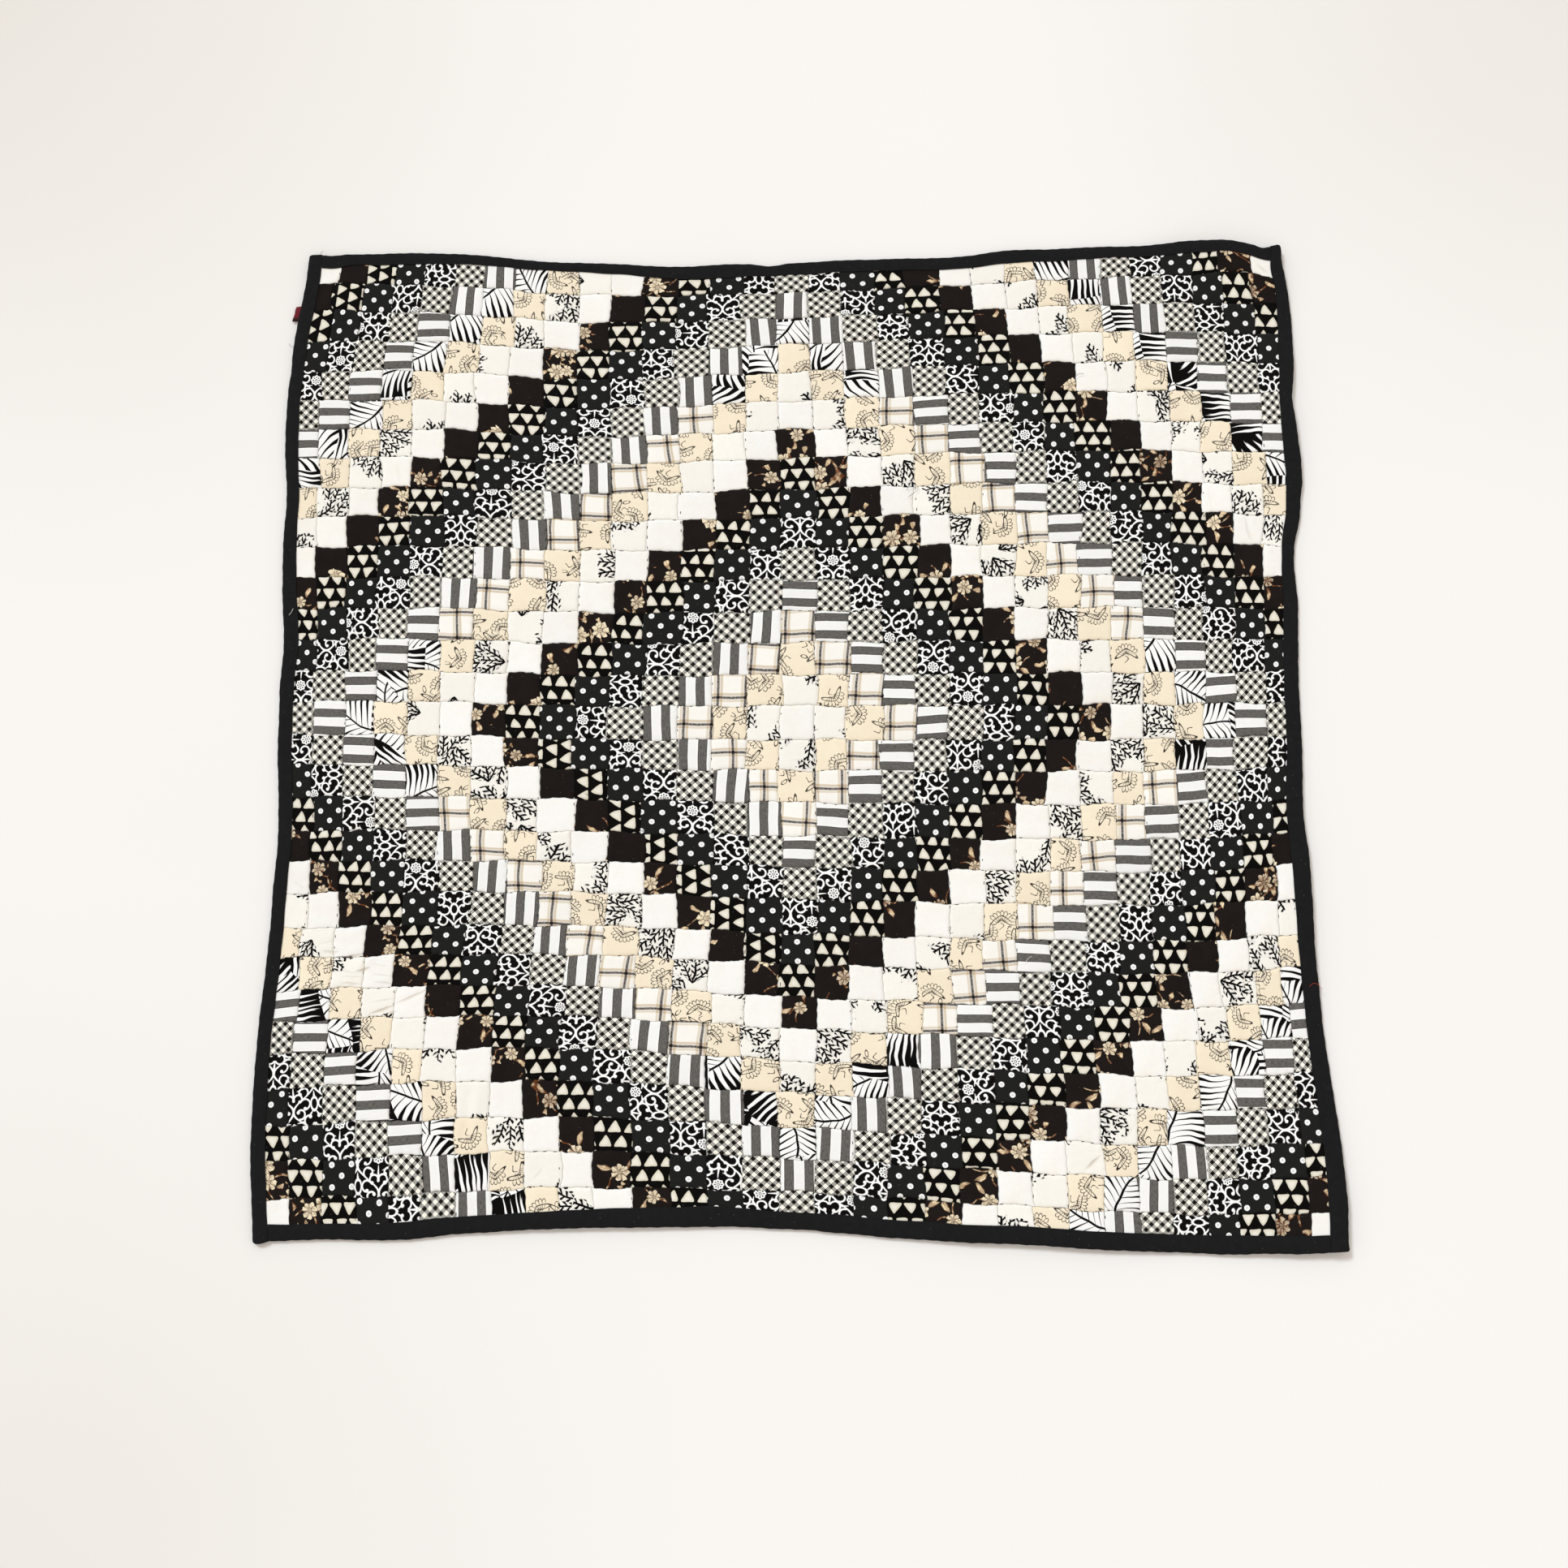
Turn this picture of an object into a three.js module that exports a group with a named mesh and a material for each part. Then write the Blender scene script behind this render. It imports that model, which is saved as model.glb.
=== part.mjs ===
// A bound patchwork quilt mat, laid flat on a floor: a quilted panel of pieced squares, four
// strips of binding folded over its edges, and a small ribbon tag caught in the left-hand strip.
//
// Millimetres, +Z up. The floor is z = 0, and the origin is under the middle of the outline.
// Places on the cloth are given in its own grid, s to the right and t away, as it was sewn:
// straight and square. place() then says where the worn, crept cloth really lies.
import * as THREE from "three";

// Driving dimensions
const PATCH = 29.5; // finished side of one patch
const PATCHES = 31; // patches each way
const COVERED = 0.32; // how much of each outermost patch the binding covers
const BINDING_WIDTH = 13; // of the binding that shows
const BINDING_CLOTH = 0.9; // its two layers of cotton
const FIELD_THICKNESS = 4.2; // the quilted layers, away from the edge
const EDGE_THICKNESS = 2.6; // the same layers, pressed flat inside the binding
const GAP = 0.3; // between one piece and the next
const FIELD_CELLS = 24; // faces each way across the field

// Half the sewn mat, and the height of the folded binding round its pressed edge
const HALF = (PATCHES / 2 - COVERED) * PATCH + BINDING_WIDTH;
const BINDING_HEIGHT = EDGE_THICKNESS + 2 * (GAP + BINDING_CLOTH);
const MIDDLE = { x: -6.7, y: -2.0 }; // of the outline, in the cloth's own grid

// How far the cloth has crept off its true grid, in whole millimetres. A row holds one line
// across the mat, and its columns are the seven stations from the left edge to the right.
const STATIONS = [-HALF, -325, -177, 0, 177, 325, HALF];
const CREEP = [
  { t: -HALF, right: [6, -3, -4, 4, 8, 6, -2], away: [8, 12, 19, 18, 6, -2, 0] },
  { t: -325, right: [-2, -9, -10, 2, 6, 5, -7], away: [12, 18, 19, 8, -1, -6, -3] },
  { t: -177, right: [4, -3, -2, 4, 1, -2, -12], away: [5, 7, 6, -1, -6, -8, -2] },
  { t: 0, right: [0, -7, -4, 3, 3, -2, -14], away: [4, 3, -2, -3, -4, -4, -2] },
  { t: 177, right: [-6, -11, -2, 5, 9, 4, -6], away: [2, 3, -3, -2, 1, 1, -4] },
  { t: 325, right: [-10, -15, -9, 0, 9, 6, -2], away: [0, -1, -11, -5, 1, 2, -3] },
  { t: HALF, right: [2, -8, -11, -3, 2, 2, -7], away: [-4, -3, -15, -17, -9, -2, -4] },
];

// Where the mat doesn't lie close: humps that lift both faces off the floor
const LIFTS = [
  { name: "hump beside the far right corner", s: 405, t: 470, reach: 105, height: 9 },
  { name: "right edge under that hump", s: 475, t: 285, reach: 105, height: 4 },
  { name: "right edge, near half", s: 480, t: -150, reach: 150, height: 3 },
  { name: "near right corner", s: 470, t: -470, reach: 150, height: 5 },
  { name: "near edge, right half", s: 200, t: -480, reach: 150, height: 3 },
  { name: "near edge, left half", s: -160, t: -480, reach: 130, height: 2 },
  { name: "far left corner", s: -470, t: 470, reach: 70, height: 2 },
];

// Soft swells and hollows of the quilted face alone
const SWELLS = [
  { name: "pull across the near left", s: -330, t: -210, reach: 95, height: 1.2 },
  { name: "hollow beside it", s: -230, t: -300, reach: 80, height: -0.8 },
  { name: "ridge at the far left", s: -300, t: 240, reach: 110, height: 0.8 },
  { name: "swell right of the middle", s: 210, t: 40, reach: 130, height: 0.9 },
  { name: "hollow above the middle", s: 20, t: 190, reach: 120, height: -0.7 },
  { name: "swell at the near right", s: 300, t: -260, reach: 110, height: 1.0 },
];

// Ribbon tag: folded in half, its fold outwards, its raw ends in the binding
const TAG = { t: 398, height: 14, proudFar: 4.6, proudNear: 6.4, ribbon: 0.5, slit: 0.3 };

const BLACK = { color: 0x1e1d1d, roughness: 0.9, metalness: 0 };
const PIECED = { color: 0x9b958b, roughness: 0.9, metalness: 0 };
const DARK_RED = { color: 0x6e1423, roughness: 0.7, metalness: 0 };

// A smooth curve through values given at rising stations
function along(stations, values, q) {
  const last = stations.length - 1;
  let k = 0;
  while (k < last - 1 && q > stations[k + 1]) k += 1;
  const slope = (i) => {
    const before = Math.max(i - 1, 0);
    const after = Math.min(i + 1, last);
    return (values[after] - values[before]) / (stations[after] - stations[before]);
  };
  const span = stations[k + 1] - stations[k];
  const f = (q - stations[k]) / span;
  const ease = f * f * (3 - 2 * f);
  return (
    values[k] * (1 - ease) +
    values[k + 1] * ease +
    span * f * (1 - f) * (slope(k) * (1 - f) - slope(k + 1) * f)
  );
}

// The creep at one place of the grid, in the direction named
function creep(direction, s, t) {
  const lines = CREEP.map((line) => along(STATIONS, line[direction], s));
  return along(STATIONS, lines, t);
}

// The height that a list of round, soft-sided bumps adds at a place of the grid
function bumps(list, s, t) {
  let sum = 0;
  for (const bump of list) {
    const near = 1 - ((s - bump.s) ** 2 + (t - bump.t) ** 2) / bump.reach ** 2;
    if (near > 0) sum += bump.height * near * near;
  }
  return sum;
}

// Where the point at height z over the place (s, t) of the flat, square mat really lies
function place(s, t, z) {
  return [
    s + creep("right", s, t) - MIDDLE.x,
    t + creep("away", s, t) - MIDDLE.y,
    z + bumps(LIFTS, s, t),
  ];
}

// Lines across the mat, from one edge of the panel to the other: its edge inside the binding,
// the binding's lip, the place where the layers are at their full thickness, and the field
const PANEL_EDGE = HALF - 2.2;
const PANEL_LIP = HALF - BINDING_WIDTH - 3 * GAP;
const FIELD_EDGE = PANEL_LIP - 14;
function panelLines() {
  const lines = [-PANEL_EDGE, -PANEL_LIP];
  for (let k = 0; k <= FIELD_CELLS; k += 1) {
    lines.push(FIELD_EDGE * ((2 * k) / FIELD_CELLS - 1));
  }
  lines.push(PANEL_LIP, PANEL_EDGE);
  return lines;
}

function meshOf(name, points, triangles, look) {
  const geometry = new THREE.BufferGeometry();
  geometry.setAttribute("position", new THREE.Float32BufferAttribute(points.flat(), 3));
  geometry.setIndex(triangles.flat());
  geometry.computeVertexNormals();
  const mesh = new THREE.Mesh(geometry, new THREE.MeshStandardMaterial(look));
  mesh.name = name;
  return mesh;
}

// The quilted panel: two faces over one grid of places, joined round the edge
function quiltPanel() {
  const lines = panelLines();
  const count = lines.length;
  const points = [];
  for (const face of ["under", "upper"]) {
    for (const t of lines) {
      for (const s of lines) {
        const pressed = Math.max(Math.abs(s), Math.abs(t)) > FIELD_EDGE + 1;
        const floor = pressed ? BINDING_CLOTH + GAP : 0;
        const upper = pressed ? floor + EDGE_THICKNESS : FIELD_THICKNESS + bumps(SWELLS, s, t);
        points.push(place(s, t, face === "under" ? floor : upper));
      }
    }
  }
  const at = (row, column, face) => face * count * count + row * count + column;
  const triangles = [];
  for (let row = 0; row < count - 1; row += 1) {
    for (let column = 0; column < count - 1; column += 1) {
      for (const face of [0, 1]) {
        const a = at(row, column, face);
        const b = at(row, column + 1, face);
        const c = at(row + 1, column + 1, face);
        const d = at(row + 1, column, face);
        triangles.push(face ? [a, b, c] : [a, c, b], face ? [a, c, d] : [a, d, c]);
      }
    }
  }
  const end = count - 1;
  for (let k = 0; k < end; k += 1) {
    const walls = [
      [at(0, k, 0), at(0, k + 1, 0), at(0, k + 1, 1), at(0, k, 1)],
      [at(k, end, 0), at(k + 1, end, 0), at(k + 1, end, 1), at(k, end, 1)],
      [at(end, k + 1, 0), at(end, k, 0), at(end, k, 1), at(end, k + 1, 1)],
      [at(k + 1, 0, 0), at(k, 0, 0), at(k, 0, 1), at(k + 1, 0, 1)],
    ];
    for (const [a, b, c, d] of walls) triangles.push([a, b, c], [a, c, d]);
  }
  return meshOf("quilt_panel", points, triangles, PIECED);
}

// The folded binding in section, as [distance in from its outer edge, height]: round the
// outside of the fold, then back along the channel that holds the panel's edge
const INSIDE = BINDING_CLOTH;
const OUTER_ROUND = [
  [2.2, 0],
  [0.6, 0.9],
  [0, BINDING_HEIGHT / 2],
  [0.6, BINDING_HEIGHT - 0.9],
  [2.2, BINDING_HEIGHT],
];
const CHANNEL = [
  [INSIDE + 1, BINDING_HEIGHT - INSIDE],
  [INSIDE + 0.1, BINDING_HEIGHT - 2 * INSIDE],
  [INSIDE + 0.1, 2 * INSIDE],
  [INSIDE + 1, INSIDE],
];
const BINDING_SECTION = [
  [BINDING_WIDTH, 0],
  ...OUTER_ROUND,
  [BINDING_WIDTH, BINDING_HEIGHT],
  [BINDING_WIDTH, BINDING_HEIGHT - INSIDE],
  ...CHANNEL,
  [BINDING_WIDTH, INSIDE],
];

// One strip of binding. toGrid(run, inwards) gives the grid place of a section point. Each face
// is split along the diagonal that rises to the right and away, as the panel's faces are, so
// that where both are lifted and twisted the clearance between them stays the same.
function bindingStrip(name, runs, toGrid) {
  const size = BINDING_SECTION.length;
  const grid = runs.flatMap((run) => BINDING_SECTION.map(([inwards]) => toGrid(run, inwards)));
  const points = grid.map(([s, t], k) => place(s, t, BINDING_SECTION[k % size][1]));
  const triangles = [];
  for (let k = 0; k < runs.length - 1; k += 1) {
    for (let j = 0; j < size; j += 1) {
      const a = k * size + j;
      const b = k * size + ((j + 1) % size);
      const c = b + size;
      const d = a + size;
      const rises = (grid[c][0] - grid[a][0]) * (grid[c][1] - grid[a][1]) > 0;
      if (rises) triangles.push([a, c, b], [a, d, c]);
      else triangles.push([a, d, b], [b, d, c]);
    }
  }
  const outline = BINDING_SECTION.map(([x, y]) => new THREE.Vector2(x, y));
  const far = (runs.length - 1) * size;
  for (const [a, b, c] of THREE.ShapeUtils.triangulateShape(outline, [])) {
    triangles.push([a, c, b], [far + a, far + b, far + c]);
  }
  return meshOf(name, points, triangles, BLACK);
}

// The side strips run the whole length, over the ends of the other two
const sideRuns = [-HALF, ...panelLines(), HALF];
const buttEnd = HALF - BINDING_WIDTH - GAP;
const crossRuns = [-buttEnd, ...panelLines().filter((s) => Math.abs(s) < buttEnd), buttEnd];

// The tag: a folded ribbon in section, drawn along the edge, wider at its near end
function sideTag() {
  const { ribbon, slit } = TAG;
  const depth = 2 * ribbon + slit;
  const section = (proud) => [
    [GAP, 0],
    [proud - 0.4, 0],
    [proud, depth / 2],
    [proud - 0.4, depth],
    [GAP, depth],
    [GAP, depth - ribbon],
    [proud - ribbon, depth - ribbon],
    [proud - ribbon, ribbon],
    [GAP, ribbon],
  ];
  const base = (BINDING_HEIGHT - depth) / 2;
  const ends = [
    { t: TAG.t + TAG.height / 2, proud: TAG.proudFar },
    { t: TAG.t - TAG.height / 2, proud: TAG.proudNear },
  ];
  const points = [];
  for (const { t, proud } of ends) {
    for (const [out, z] of section(proud)) points.push(place(-HALF - out, t, base + z));
  }
  const outline = section(TAG.proudNear).map(([x, y]) => new THREE.Vector2(x, y));
  const size = outline.length;
  const triangles = [];
  for (let j = 0; j < size; j += 1) {
    const next = (j + 1) % size;
    triangles.push([j, size + next, next], [j, size + j, size + next]);
  }
  for (const [a, b, c] of THREE.ShapeUtils.triangulateShape(outline, [])) {
    triangles.push([a, b, c], [size + a, size + c, size + b]);
  }
  return meshOf("side_tag", points, triangles, DARK_RED);
}

const mat = new THREE.Group();
mat.name = "patchwork_mat";
mat.add(
  quiltPanel(),
  bindingStrip("binding_left", sideRuns, (run, inwards) => [-HALF + inwards, -run]),
  bindingStrip("binding_right", sideRuns, (run, inwards) => [HALF - inwards, run]),
  bindingStrip("binding_top", crossRuns, (run, inwards) => [-run, HALF - inwards]),
  bindingStrip("binding_bottom", crossRuns, (run, inwards) => [run, -HALF + inwards]),
  sideTag(),
);

export default mat;
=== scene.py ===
from functools import partialmethod, reduce
from math import ceil, cos, pi, radians, sin, sqrt

import bmesh
import bpy
import numpy as np
from mathutils import Matrix, Vector


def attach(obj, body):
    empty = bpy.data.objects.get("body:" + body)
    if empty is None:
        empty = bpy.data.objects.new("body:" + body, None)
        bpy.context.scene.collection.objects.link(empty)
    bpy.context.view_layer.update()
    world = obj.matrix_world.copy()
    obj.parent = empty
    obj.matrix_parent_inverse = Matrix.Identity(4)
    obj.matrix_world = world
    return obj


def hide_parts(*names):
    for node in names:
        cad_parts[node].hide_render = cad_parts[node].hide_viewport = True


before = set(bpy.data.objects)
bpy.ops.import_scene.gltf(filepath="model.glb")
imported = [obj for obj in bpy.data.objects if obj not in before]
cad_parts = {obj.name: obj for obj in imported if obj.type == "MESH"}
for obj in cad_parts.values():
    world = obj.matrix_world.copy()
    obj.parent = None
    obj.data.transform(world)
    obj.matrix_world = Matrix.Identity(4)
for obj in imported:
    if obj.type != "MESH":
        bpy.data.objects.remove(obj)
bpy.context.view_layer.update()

MM = 0.001
TAU = 2 * pi
RIGHT_ANGLE = pi / 2
chance = np.random.default_rng(31)

# ---- sizes, as in the frame
PATCH = 29.5
PATCHES = 31
CENTRE = PATCHES // 2  # the row and the column of the middle patch
COVERED = 0.32  # how much of an outer patch lies in the binding
BINDING_WIDTH = 13
EDGE_THICKNESS = 2.6
BINDING_FLOOR = 1.2
BINDING_HEIGHT = 5.0
HALF = (PATCHES / 2 - COVERED) * PATCH + BINDING_WIDTH
LIP = HALF - BINDING_WIDTH
MIDDLE = (-6.7, -2.0)

STATIONS = np.array([-HALF, -325, -177, 0, 177, 325, HALF])
# How far the cloth has crept off its grid: a row for each station away, the nearest first
CREEP_RIGHT = [
    [6, -3, -4, 4, 8, 6, -2],
    [-2, -9, -10, 2, 6, 5, -7],
    [4, -3, -2, 4, 1, -2, -12],
    [0, -7, -4, 3, 3, -2, -14],
    [-6, -11, -2, 5, 9, 4, -6],
    [-10, -15, -9, 0, 9, 6, -2],
    [2, -8, -11, -3, 2, 2, -7],
]
CREEP_AWAY = [
    [8, 12, 19, 18, 6, -2, 0],
    [12, 18, 19, 8, -1, -6, -3],
    [5, 7, 6, -1, -6, -8, -2],
    [4, 3, -2, -3, -4, -4, -2],
    [2, 3, -3, -2, 1, 1, -4],
    [0, -1, -11, -5, 1, 2, -3],
    [-4, -3, -15, -17, -9, -2, -4],
]
# Humps of the whole mat, and swells of its quilted face: s, t, reach, height
LIFTS = [
    (405, 470, 105, 9), (475, 285, 105, 4), (480, -150, 150, 3), (470, -470, 150, 5),
    (200, -480, 150, 3), (-160, -480, 130, 2), (-470, 470, 70, 2),
]
SWELLS = [
    (-330, -210, 95, 1.2), (-230, -300, 80, -0.8), (-300, 240, 110, 0.8), (210, 40, 130, 0.9),
    (20, 190, 120, -0.7), (300, -260, 110, 1.0),
]
# Small pulls at the mat's edge: s, t, reach, and how far
PULLS_RIGHT = [
    (461, 391, 60, 3.2), (461, 304, 26, -2.8), (461, 222, 62, 4.2), (461, 150, 50, -4.2),
    (461, 60, 105, -1.0), (461, -92, 75, -3.4), (461, -213, 105, -3.2), (461, -285, 50, -1.1),
    (461, -395, 95, 3.0), (-461, 430, 60, 1.3), (-461, 214, 40, 2.3), (-461, 73, 52, 2.5),
    (-461, -101, 70, 2.5), (-461, -402, 80, -2.3), (-456, -462, 10, -0.5), (-425, 418, 62, 0.6),
    (414, 441, 36, -3.6), (447, 438, 22, -1.0), (461, 464, 13, 0.3), (461, 343, 22, 1.0),
    (461, 204, 18, -1.3), (461, -125, 30, 0.7), (461, -448, 26, -1.1), (-461, 339, 22, 1.3),
]
PULLS_AWAY = [
    (445, 461, 34, -5.2), (441, 463, 9, -1.5), (325, 461, 45, -1.7), (205, 461, 40, 1.7),
    (140, 461, 50, -2.2), (43, 461, 35, 1.2), (-19, 461, 20, -2.4), (-106, 461, 50, -2.3),
    (-232, 461, 45, -1.2), (-455, 461, 11, -0.9), (-456, -462, 10, -2.2), (-333, -461, 60, -2.4),
    (-59, -461, 40, 0.9), (75, -461, 50, -2.6), (130, -461, 45, -1.8), (307, -461, 55, 1.1),
    (-425, 418, 62, 4.6), (-425, 470, 50, -1.4), (414, 441, 36, 2.8), (447, 438, 22, -2.8),
    (-437, 444, 24, -3.8), (416, 461, 22, -1.3), (461, 464, 13, 1.5), (28, -461, 24, -1.4),
    (425, -461, 40, -0.9),
]
# Slow waves of the quilted face: height, and the lengths to the right and away
CLOTH_WAVES = [(0.16, 131, 173), (0.13, 71, -88)]
# Creases in it: middle s and t, angle from s in degrees, half length, half width, height
CREASES = [
    (-345, -205, 38, 62, 5, 1.1), (-322, -226, 42, 55, 4, -0.8), (-360, -180, 34, 48, 5, 0.8),
    (-270, -372, 80, 34, 4, -1.0), (-262, -366, 80, 30, 5, 0.9), (120, 330, -12, 70, 7, 0.6),
    (330, 180, 66, 60, 7, 0.7), (-90, -250, 15, 80, 8, 0.5), (250, -120, -35, 66, 7, 0.6),
    (-250, 90, 72, 70, 8, 0.5), (60, -400, 8, 75, 7, 0.7), (392, -330, 58, 50, 6, 0.8),
]
CREASE_BEND, CREASE_TURN = 0.05, 1.7  # how far a crease bends for its half length, and how soon
# Sharp little creases: the same columns, with depth from 0 to 1 at the end. The cloth dips along
# each, and in the pale fabrics the material also paints shade along the dip
FINE_WIDTH, FINE_DEPTH = 2.6, 0.75
FINE_CREASES = [
    (-436, -154, -37, 9, 1.1, 0.45), (-413, -196, 4, 13, 1.3, 0.3),
    (-406, -207, 12, 12, 1.2, 0.3), (-402, -216, -8, 9, 1.5, 0.8), (-377, -220, 5, 15, 1.5, 0.9),
    (-370, -234, 17, 8, 1.4, 1.0), (-384, -236, -18, 9, 1.3, 0.5), (-378, -241, -5, 12, 1.2, 0.5),
    (-379, -247, -8, 11, 1.5, 0.7), (-351, -240, -9, 12, 1.2, 0.45),
    (-354, -231, -12, 9, 1.3, 0.35), (-348, -248, -8, 12, 1.5, 0.6),
    (-349, -273, 17, 15, 1.4, 1.0), (-348, -264, 9, 13, 1.3, 0.45), (-341, -276, 13, 7, 1.1, 0.7),
    (-323, -261, 27, 18, 1.5, 0.8), (-245, -387, 50, 8, 2.2, 0.45), (-209, -416, 48, 8, 1.4, 0.5),
    (-52, -279, 35, 13, 2.2, 0.4), (-211, 407, 83, 14, 1.2, 0.45),
    (-350, 232, -83, 13, 1.4, 0.35), (243, -387, 43, 11, 1.4, 1.0), (275, -359, 60, 8, 2.0, 0.5),
    (390, -229, -82, 12, 1.3, 0.55), (441, 435, -54, 9, 1.5, 0.7), (412, 176, -75, 16, 1.4, 0.65),
    (409, 203, -72, 12, 1.3, 0.45), (376, 205, -84, 15, 1.5, 0.3),
]


def along(values, q):
    """A smooth curve through values given at STATIONS, the same ones or others for each q."""
    values = np.asarray(values, float)
    k = np.clip(np.searchsorted(STATIONS, q) - 1, 0, len(STATIONS) - 2)
    before = (k, np.arange(len(q)))[:values.ndim]
    after = (k + 1, *before[1:])
    padded = np.concatenate([values[:1], values, values[-1:]])
    stations = np.r_[STATIONS[0], STATIONS, STATIONS[-1]]
    slopes = ((padded[2:] - padded[:-2]).T / (stations[2:] - stations[:-2])).T
    span = STATIONS[k + 1] - STATIONS[k]
    f = (q - STATIONS[k]) / span
    ease = f * f * (3 - 2 * f)
    bend = slopes[before] * (1 - f) - slopes[after] * f
    return values[before] * (1 - ease) + values[after] * ease + span * f * (1 - f) * bend


def bumps(table, s, t):
    total = np.zeros_like(s)
    for middle_s, middle_t, reach, height in table:
        near = 1 - ((s - middle_s) ** 2 + (t - middle_t) ** 2) / reach**2
        total += height * np.clip(near, 0, None) ** 2
    return total


def place(s, t, z):
    """Where points at height z over places on the sewn grid lie."""
    s, t, z = np.broadcast_arrays(np.asarray(s, float), t, z)
    shape = s.shape
    s, t, z = s.ravel(), t.ravel(), z.ravel()
    right, away = (along([along(line, s) for line in creep], t) + bumps(pulls, s, t)
                   for creep, pulls in ((CREEP_RIGHT, PULLS_RIGHT), (CREEP_AWAY, PULLS_AWAY)))
    points = np.stack([s + right - MIDDLE[0], t + away - MIDDLE[1], z + bumps(LIFTS, s, t)], -1)
    return points.reshape(*shape, 3)


def smooth_step(x):
    x = np.clip(x, 0, 1)
    return x * x * (3 - 2 * x)


def wobble(q, seed, lengths, size):
    """An unsteady line: waves with chance starts."""
    draw = np.random.default_rng(seed)
    total = np.zeros_like(np.asarray(q, float))
    for length in lengths:
        total += np.sin(q * (TAU / length) + draw.uniform(0, TAU)) * draw.uniform(0.6, 1.2)
    return total * size / len(lengths) ** 0.5


# ---- the seams
# Seams run on across the mat. Up the mat each row's miss the next row's by a little
ROW_DRIFT = chance.normal(0, 0.75, PATCHES + 1)
ROW_SLIDE = chance.normal(0, 0.7, PATCHES)
JOGS = chance.normal(0, 0.75, (PATCHES, PATCHES + 1)) + ROW_SLIDE[:, None]
JOGS += chance.choice([0, 0, 0, 0, 0, 1.4, -1.4], (PATCHES, PATCHES + 1))
LEANS = chance.normal(0, 1.25, (PATCHES, PATCHES + 1))
BOWS = chance.normal(0, 0.7, (PATCHES, PATCHES + 1))
for table in (JOGS, LEANS, BOWS):
    table[:, [0, -1]] = 0
ROW_DRIFT[[0, -1]] = 0
LONG_WAVE, SHORT_WAVE = (0.9, 97), (0.65, 43)  # how far seams wander, and in what length
SEAM_DASHES = 3  # stitches on each side of a patch
DASH_STEP = PATCH / SEAM_DASHES
SCALLOP = 0.3  # how far a seam bows between its stitches

SEAM_HEIGHT = 2.6
PRESSED_HEIGHT = BINDING_FLOOR + EDGE_THICKNESS - 0.08
PRESSED_REACH, PRESSED_FADE = 14, 10  # how far in the binding still holds the cloth flat
SHOULDER = 1.1  # how soon a patch rises from its seams
PUCKER, PUCKER_START, PUCKER_REACH = 0.34, 1.2, 4  # ripples by the stitches
SEAM_CREASE = 0.35  # the share of a crease's height left in a seam
PUFF = chance.uniform(0.8, 1.6, (PATCHES, PATCHES))
PHASE = 0.3 * chance.uniform(0, TAU, (4, PATCHES, PATCHES))


def seam_place(k):
    return (k - PATCHES / 2) * PATCH


def seam_away(k, s):
    """How far away the k-th seam across the mat runs, at s."""
    k = np.asarray(k)
    inner = (k > 0) & (k < PATCHES)
    waves = LONG_WAVE[0] * np.sin(s * TAU / LONG_WAVE[1] + 2.1 * k)
    waves = waves + SHORT_WAVE[0] * np.sin(s * TAU / SHORT_WAVE[1] + 1.3 * k * k)
    scallops = SCALLOP * np.sin(s * TAU / DASH_STEP + 1.7 * k)
    return seam_place(k) + ROW_DRIFT[k] + inner * (waves + scallops)


def seam_right(row, k, v):
    """How far right the k-th seam of a row is, at the share v of the way to its far side."""
    inner = (k > 0) & (k < PATCHES)
    scallops = SCALLOP * np.sin(v * TAU * SEAM_DASHES + 2.3 * k + 1.1 * row)
    bend = BOWS[row, k] * 4 * v * (1 - v) + inner * scallops
    return seam_place(k) + JOGS[row, k] + LEANS[row, k] * (v - 0.5) + bend


def patch_places(row, column, u, v):
    """Places in a patch, at shares of the way from its left and near seams to the others."""
    s = seam_right(row, column, v) * (1 - u) + seam_right(row, column + 1, v) * u
    t = seam_away(row, s) * (1 - v) + seam_away(row + 1, s) * v
    return s, t


def between(lines, q):
    """Which lines each q lies between, and its share of the way from one to the next."""
    every = np.arange(len(q))
    k = np.clip((lines < q).sum(0) - 1, 0, PATCHES - 1)
    return k, (q - lines[k, every]) / (lines[k + 1, every] - lines[k, every])


def find_patch(s, t):
    row, v = between(np.array([seam_away(k, s) for k in range(PATCHES + 1)]), t)
    column, u = between(np.array([seam_right(row, k, v) for k in range(PATCHES + 1)]), s)
    return row, column, u, v


def pressed(s, t):
    """1 where the binding holds the layers flat, 0 farther in."""
    inner_edge = LIP - PRESSED_REACH
    return smooth_step((np.maximum(np.abs(s), np.abs(t)) - inner_edge) / PRESSED_FADE)


def creases(s, t):
    total = sum(height * np.sin(s * TAU / right + t * TAU / away)
                for height, right, away in CLOTH_WAVES)
    fine = [(*row[:4], FINE_WIDTH, -FINE_DEPTH * row[5]) for row in FINE_CREASES]
    for middle_s, middle_t, degrees, half, width, height in CREASES + fine:
        angle = radians(degrees)
        run = (s - middle_s) * cos(angle) + (t - middle_t) * sin(angle)
        off = (t - middle_t) * cos(angle) - (s - middle_s) * sin(angle)
        off = off - half * CREASE_BEND * np.sin(run / half * CREASE_TURN)
        fade = np.clip(1 - (run / half) ** 2, 0, None)
        total += height * fade * np.exp(-((off / width) ** 2))
    return total


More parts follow.
